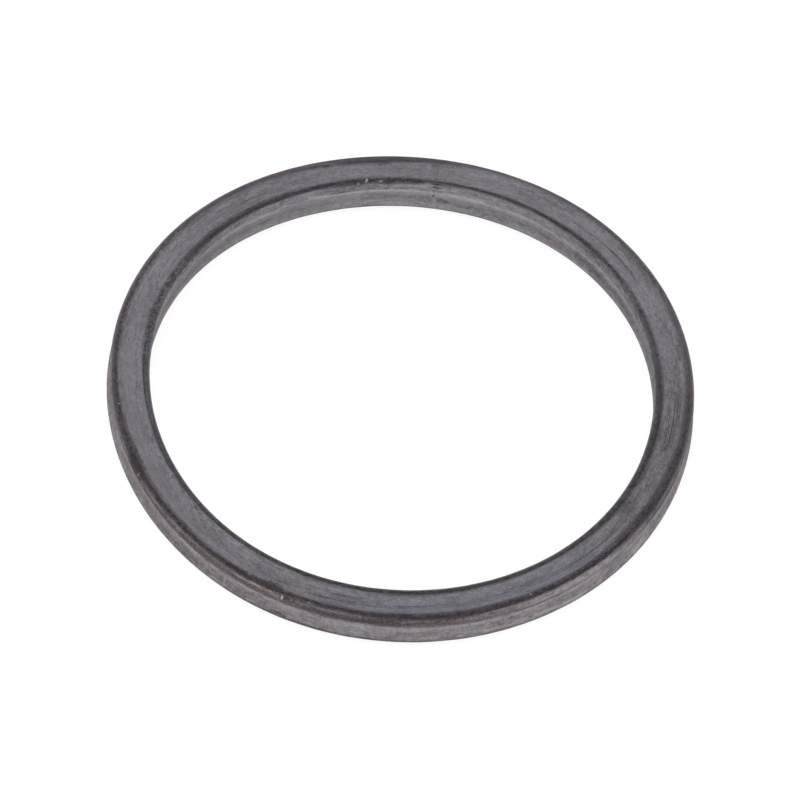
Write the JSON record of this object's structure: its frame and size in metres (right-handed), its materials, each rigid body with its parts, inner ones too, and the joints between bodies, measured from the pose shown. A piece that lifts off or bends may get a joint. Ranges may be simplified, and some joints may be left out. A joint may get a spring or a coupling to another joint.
{
  "type": "quad ring",
  "caption": "Moulded rubber sealing ring with a four-lobed section, shallow valleys between the lobes and a parting line on its inner and outer walls.",
  "frame": {"origin": "on the axis of the ring, in the plane of its lowest points", "axes": "+Z along the axis of the ring, upwards as the ring lies; the ring is round, so +X and +Y are free, with -Y towards the picture's camera"},
  "size_m": [0.0776, 0.0776, 0.0053],
  "materials": {
    "rubber": "matt moulded rubber with a grey bloom and darker rubbed lobes"
  },
  "bodies": {
    "root": {"quad_ring": "rubber"}
  },
  "joints": []
}
